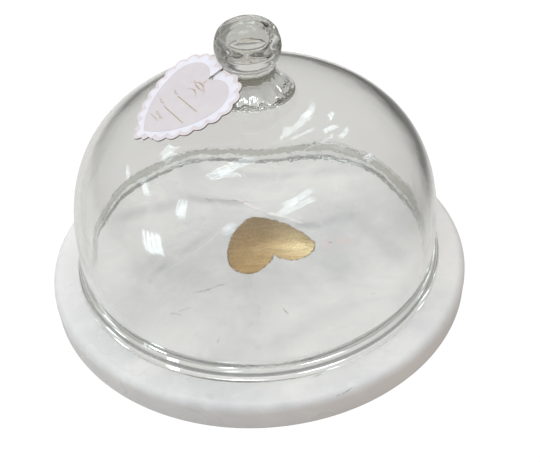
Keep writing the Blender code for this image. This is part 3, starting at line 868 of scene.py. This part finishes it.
def make_cloche(finishes):
    """The dome and its knob in one closed glass skin, slightly uneven on both faces."""
    bm = bmesh.new()
    outer, inner = outer_rings(), inner_rings()
    rows = ring_mesh(bm, outer + inner, CLOCHE_SIDES)
    bmesh.ops.recalc_face_normals(bm, faces=bm.faces)
    bm.normal_update()
    moves = []
    for number, row in enumerate(rows):
        inside = number >= len(outer)
        for vertex in row:
            above = (vertex.co.z - RIM_LEVEL) / MM
            free = smoothstep((above - 4) / 18)
            calm = 1 - 0.6 * smoothstep((above - DOME_HEIGHT / MM) / 6)
            move = ripple(vertex.co, 31.0 if inside else 5.0) * free * calm
            if inside and above > SPRING_HEIGHT / MM:
                move += crown_gather(vertex.co)
            if not inside:
                move += knob_marks(vertex.co, above - DOME_HEIGHT / MM)
            moves.append((vertex, vertex.normal * move))
    for vertex, move in moves:
        vertex.co += move
        # The knob's top leans towards the viewer, as in the CAD model
        lean = KNOB_LEAN * smoothstep((vertex.co.z - CROWN_LEVEL - LEAN_FROM) / LEAN_OVER)
        vertex.co.z -= lean * (KNOB_PLACE.y + CREST_RADIUS - vertex.co.y)
    mesh = finish_mesh("glass_cloche", bm, radians(80))
    nodes = ["glass_dome", "glass_knob"]
    add_piece("glass_cloche", mesh, finishes["glass"], "dome", nodes)


# ---------------------------------------------------------------- the tag and its thread


def card_place():
    turn = Euler(CARD_ROTATION).to_matrix().to_4x4()
    return Matrix.Translation(HINGE_POINT) @ turn @ Matrix.Translation((0, -HINGE_PLACE, 0))


def settle_on_card(mesh):
    """Bows a flat piece of the card a little and puts it where the card lies."""
    place = card_place()
    for vertex in mesh.vertices:
        x, y = vertex.co.x / MM, vertex.co.y / MM
        sides = 0.35 * (x / 28) ** 2 * smoothstep((60 - y) / 40)
        vertex.co.z -= (0.45 * ((45 - y) / 50) ** 2 + sides) * MM
        vertex.co = place @ vertex.co
    mesh.update()
    return mesh


def filled_layer(name, outline, low, high, hole=0.0):
    """A sheet of card with a clean edge, punched where it has a hole, and fine enough to bend."""
    bm = bmesh.new()
    lines = [outline, circle((0, HOLE_PLACE), hole, 32)] if hole else [outline]
    rims = []
    for height in (low, high):
        loops = [[bm.verts.new((p[0], p[1], height)) for p in line] for line in lines]
        edges = []
        for loop in loops:
            edges += [bm.edges.new((loop[i - 1], loop[i])) for i in range(len(loop))]
        bmesh.ops.triangle_fill(bm, use_beauty=True, edges=edges)
        rims.append(loops)
    for pair in zip(*rims):
        join_loops(bm, pair)
    # Cuts across the sheet let it bow smoothly
    cuts = [((0, y * MM, 0), (0, 1, 0)) for y in range(-4, 60, 5)]
    cuts += [((x * MM, 0, 0), (1, 0, 0)) for x in range(-28, 29, 7)]
    for place, across in cuts:
        geometry = bm.verts[:] + bm.edges[:] + bm.faces[:]
        bmesh.ops.bisect_plane(bm, geom=geometry, dist=1e-7, plane_co=place, plane_no=across)
    return finish_mesh(name, bm, radians(30))


def make_card(finishes):
    """A layered tag: scalloped backing card, a white lace layer and the printed pink heart."""
    half = CARD_THICKNESS / 2
    outline = scalloped_outline(CARD_BORDER, 1.7 * MM, 1.0 * MM)
    mesh = filled_layer("tag_back", outline, -half - 0.2 * MM, half, HOLE_RADIUS)
    mesh.materials.append(finishes["backing"])
    # The card's cut sides are painted dark brown: the cut edge together with painted shade under
    # the scallops
    mesh.materials.append(finishes["dark_edge_shade"])
    for face in mesh.polygons:
        if abs(face.normal.z) < 0.5:
            face.material_index = 1
    add_piece("tag_back", settle_on_card(mesh), None, "tag", ["gift_tag"])

    outline = scalloped_outline(CARD_BORDER - 2.4 * MM, 2.8 * MM, 1.0 * MM)
    mesh = filled_layer("tag_lace", outline, half + 0.02 * MM, half + 0.14 * MM, HOLE_RADIUS)
    add_piece("tag_lace", settle_on_card(mesh), finishes["lace"], "tag")

    outline = heart_outline(CARD_HEART, CARD_SHAPE)
    mesh = filled_layer("tag_heart", outline, half + 0.16 * MM, half + 0.26 * MM)
    add_piece("tag_heart", settle_on_card(mesh), finishes["pink"], "tag")

    make_foil(finishes, half + 0.27 * MM)


def make_foil(finishes, level):
    """Gold foil: three writing lines and a small sprig near the hole. No lettering."""
    bm = bmesh.new()
    corners = ((1, 0), (1, FOIL_THICKNESS), (-1, FOIL_THICKNESS), (-1, 0))

    def strip(start, end, width):
        start, end = Vector(start) * MM, Vector(end) * MM
        along = (end - start).normalized()
        across = Vector((-along.y, along.x)) * width * MM / 2
        spots = (start.lerp(end, i / 6) for i in range(7))
        add_solid(
            bm,
            [
                [bm.verts.new((*(spot + across * side), level + rise)) for side, rise in corners]
                for spot in spots
            ],
        )

    def dot(centre, radius):
        outline = circle(Vector(centre) * MM, radius * MM, 10)
        add_prism(bm, [(outline, level), (outline, level + FOIL_THICKNESS)])

    strip((-5.0, 25.2), (14.8, 26.9), 0.42)
    strip((-5.4, 16.2), (15.0, 17.8), 0.42)
    strip((-7.6, 8.4), (1.0, 8.9), 0.36)
    # A sprig of paired leaves that shrink towards its ends
    for side in (-1, 1):
        for number in range(5):
            spread = number + 0.5
            dot((side * spread * 1.5 - 0.4, 38.6 - 0.14 * spread**2), 0.58 - 0.06 * number)
            dot((side * spread * 1.4 - 0.4, 36.0 + 0.06 * spread**2), 0.50 - 0.05 * number)
            dot((side * spread * 1.1 - 0.4, 33.6 - 0.10 * spread**2), 0.44 - 0.05 * number)
    for number in range(3):
        dot((-0.4, 40.4 + number * 1.2), 0.5 - 0.1 * number)
    # Small tendrils at the start of each line
    starts = ((-9.6, 25.6, 1.0), (-11.6, 17.0, 1.15), (-5.0, 11.3, 0.9), (-0.8, 11.0, 0.9))
    for x, y, size in starts:
        points = [
            (x + 4.2 * size * t - 1, y + size * sin(t * 3 * pi) * (1.1 - 0.7 * t))
            for t in (step / 8 for step in range(9))
        ]
        for before, after in zip(points, points[1:]):
            strip(before, after, 0.3)
    mesh = finish_mesh("tag_foil", bm, radians(30))
    add_piece("tag_foil", settle_on_card(mesh), finishes["foil"], "tag")


def smooth_route(points, count):
    """Evenly spaced points on the smooth curve through a route's own points."""
    padded = [points[0] * 2 - points[1], *points, points[-1] * 2 - points[-2]]
    fine = [points[0]]
    for before, start, end, after in zip(padded, padded[1:], padded[2:], padded[3:]):
        start_handle = start + (end - before) / 6
        end_handle = end - (after - start) / 6
        fine += interpolate_bezier(start, start_handle, end_handle, end, 13)[1:]
    lengths = running_lengths(fine)
    route, piece = [], 0
    for step in range(count):
        along = lengths[-1] * step / (count - 1)
        while piece < len(fine) - 2 and lengths[piece + 1] < along:
            piece += 1
        share = (along - lengths[piece]) / (lengths[piece + 1] - lengths[piece])
        route.append(fine[piece].lerp(fine[piece + 1], share))
    return route


def thread_route():
    """The thread's line from the knot, up through the hole, over the card, round the neck and
    back under the card to the knot."""
    place = card_place()
    on_card = [
        [place @ (Vector((x, y, z)) * MM) for x, y, z in strand]
        for strand in (UPPER_STRAND, LOWER_STRAND)
    ]
    around = arc(KNOB_PLACE, LOOP_RADIUS, LOOP_FROM, LOOP_TO, LOOP_STEPS)
    loop = [Vector((*spot, CROWN_LEVEL + LOOP_HEIGHT)) for spot in around]
    return smooth_route(on_card[0] + loop + on_card[1], THREAD_POINTS)


def make_thread(finishes):
    """The thread in one piece, and the overhand knot behind the card."""
    place = card_place()
    centre = place @ Vector((0, HOLE_PLACE, -KNOT_DROP))
    knot_path = []
    for step in range(KNOT_STEPS):
        t = 2 * pi * step / KNOT_STEPS
        spot = Vector((sin(t) + 2 * sin(2 * t), cos(t) - 2 * cos(2 * t), -1.2 * sin(3 * t)))
        knot_path.append(centre + spot * KNOT_SIZE)
    mesh = tube_mesh("tag_knot", knot_path, THREAD_RADIUS * 0.92, 8, closed=True)
    knot = add_piece("tag_knot", mesh, finishes["thread"], "tag", ["thread_knot"])

    route = thread_route()
    mesh = tube_mesh("tag_cord", route, THREAD_RADIUS, 10)
    thread = add_piece("tag_cord", mesh, finishes["thread"], None, ["tag_thread"])
    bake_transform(thread)


# ---------------------------------------------------------------- camera, light and floor


# The camera was fitted to the photo, and stands in metres
SENSOR_WIDTH = 36
LENS = 53.33
CAMERA_PLACE = (0, -0.3774, 0.3492)
CAMERA_FORWARD = (0.01588, 0.76357, -0.64553)
CAMERA_UP = (0.06934, 0.64322, 0.76254)


def make_camera():
    data = bpy.data.cameras.new("camera")
    data.sensor_width = SENSOR_WIDTH
    data.lens = LENS
    data.clip_start = 0.01
    data.clip_end = 50
    camera = add_object("camera", data)
    forward = Vector(CAMERA_FORWARD).normalized()
    right = forward.cross(Vector(CAMERA_UP).normalized()).normalized()
    up = right.cross(forward)
    turn = Matrix((right, up, -forward)).transposed().to_4x4()
    camera.matrix_world = Matrix.Translation(CAMERA_PLACE) @ turn
    bpy.context.scene.camera = camera


# Ceiling lamps seen in the glass: compass angle from +X, height, length, width and roll, in
# degrees, and radiance
LAMPS = (
    ("lamp_crown", 121, 76, 19.0, 6.0, 176, 9),
    ("lamp_front", -42, 63, 21.0, 5.0, -2, 9),
    ("lamp_back_left", 134, 49, 12.0, 5.0, 171, 7),
    ("lamp_left", -156, 49, 15.0, 5.0, 123, 8),
    ("lamp_far_left", 171, 38, 12.0, 3.2, 171, 6),
    ("lamp_edge_left", 156, 29, 8.0, 2.2, 180, 5),
    ("lamp_low_front", -112, 47, 10.5, 4.0, 60, 6),
    ("lamp_window", -155, 14, 17.0, 12.0, -62, 9),
    ("lamp_back", 71, 42, 4.5, 2.4, -106, 10),
    ("lamp_back_right", 54, 45, 7.0, 2.5, -103, 9),
    ("lamp_right", 23, 35, 6.5, 2.5, -65, 8),
    ("lamp_strip", 64, 53, 11.0, 1.6, -113, 6),
    ("lamp_glint", 84.5, 44, 12.0, 2.2, 90, 7),
)
LAMP_DISTANCE = 2.4
TUBES = 4  # in each lamp


def tube_glow(data, radiance):
    """Makes a panel light glow as parallel tubes that fade towards their ends."""
    data.use_nodes = True
    glow = Nodes(data.node_tree)
    along, across, _ = glow.parts(glow.add("NewGeometry").outputs["Parametric"])
    wave = glow.math("COSINE", glow.math("MULTIPLY", across, 2 * pi * TUBES))
    stripes = glow.math("ADD", glow.math("MULTIPLY", wave, -0.42), 0.58)
    middle = glow.math("MULTIPLY", along, glow.math("SUBTRACT", 1, along))
    ends = glow.math("MINIMUM", glow.math("MULTIPLY", middle, 7.0), 1.0)
    strength = glow.math("MULTIPLY", glow.math("MULTIPLY", stripes, ends), radiance)
    glow.put(glow.tree.nodes["Emission"].inputs["Strength"], strength)


def add_panel(name, size, energy, colour):
    data = bpy.data.lights.new(name, "AREA")
    data.shape = "RECTANGLE"
    data.size, data.size_y = size
    data.energy = energy
    data.color = colour
    return add_object(name, data)


def make_lights():
    target = Vector((0, 0, 0.1))
    for name, compass, height, long, wide, roll, radiance in LAMPS:
        a, e, r = radians(compass), radians(height), radians(roll)
        away = Vector((cos(a) * cos(e), sin(a) * cos(e), sin(e)))
        east = Vector((-sin(a), cos(a), 0))
        up = away.cross(east)
        along = east * cos(r) + up * sin(r)
        across = away.cross(along)
        size = (LAMP_DISTANCE * radians(long), LAMP_DISTANCE * radians(wide))
        lamp = add_panel(name, size, pi * size[0] * size[1], (0.80, 0.95, 1.0))
        tube_glow(lamp.data, radiance)
        turn = Matrix((along, across, away)).transposed().to_4x4()
        lamp.matrix_world = Matrix.Translation(target + away * LAMP_DISTANCE) @ turn
    lamp = add_panel("soft_top", (2.4, 2.0), 25, (1.0, 0.985, 0.96))
    lamp.location = (-0.3, 0.3, 2.3)
    lamp.rotation_euler = (radians(-6), radians(-6), 0)
    lamp.visible_glossy = False
    lamp.visible_transmission = False


def make_world():
    """A pale studio: light from above, and darker walls near the horizon that shape the glass."""
    world = bpy.data.worlds.new("studio")
    bpy.context.scene.world = world
    world.use_nodes = True
    sky = Nodes(world.node_tree)
    sky.tree.nodes.clear()
    ramp = sky.add("ValToRGB", {0: sky.parts(sky.add("TexCoord").outputs["Generated"])[2]})
    ramp.color_ramp.interpolation = "EASE"
    stops = ramp.color_ramp.elements
    stops[0].position, stops[0].color = 0.0, (0.26, 0.26, 0.25, 1)
    stops[1].position, stops[1].color = 0.95, (0.85, 0.85, 0.84, 1)
    for position, shade in ((0.22, (0.36, 0.36, 0.35, 1)), (0.5, (0.55, 0.55, 0.54, 1))):
        stops.new(position).color = shade
    dim = sky.add("Background", {0: ramp.outputs[0], 1: 1.0})
    plain = sky.add("Background", {0: (1, 1, 1)})
    seen = sky.add("LightPath").outputs["Is Camera Ray"]
    mix = sky.add("MixShader", {0: seen, 1: dim.outputs[0], 2: plain.outputs[0]})
    sky.add("OutputWorld", {0: mix.outputs[0]})


def make_floor():
    bm = bmesh.new()
    ring_mesh(bm, lathe_rings([(0, 0), (0.4, 0), (1.6, 0)], 96), 96)
    mesh = bpy.data.meshes.new("floor")
    bm.to_mesh(mesh)
    bm.free()
    floor = add_object("floor", mesh)
    mesh.materials.append(floor_finish())
    floor.location.z = -0.02 * MM


def main():
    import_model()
    make_camera()
    finishes = {
        "marble": marble_finish(),
        "brass": brass_finish(),
        "resin": resin_finish(),
        "rubber": rubber_finish(),
        "glass": glass_finish(),
        "backing": paper_finish("pink_backing", (0.70, 0.635, 0.66), (0.665, 0.60, 0.63)),
        # The card's sides: the cut edge painted dark as shade
        "dark_edge_shade": paper_finish("card_edge_shade", (0.13, 0.10, 0.095), (0.17, 0.13, 0.12)),
        "lace": paper_finish("white_lace", (0.77, 0.755, 0.83), (0.72, 0.705, 0.78)),
        "pink": paper_finish("printed_pink", (0.64, 0.59, 0.615), (0.615, 0.565, 0.59), 0.15),
        "foil": foil_finish(),
        "thread": thread_finish(),
    }
    make_thread(finishes)
    make_board(finishes)
    make_foot_pads(finishes)
    make_cloche(finishes)
    make_card(finishes)
    make_lights()
    make_world()
    make_floor()
    bpy.context.scene.view_settings.view_transform = "Standard"


main()
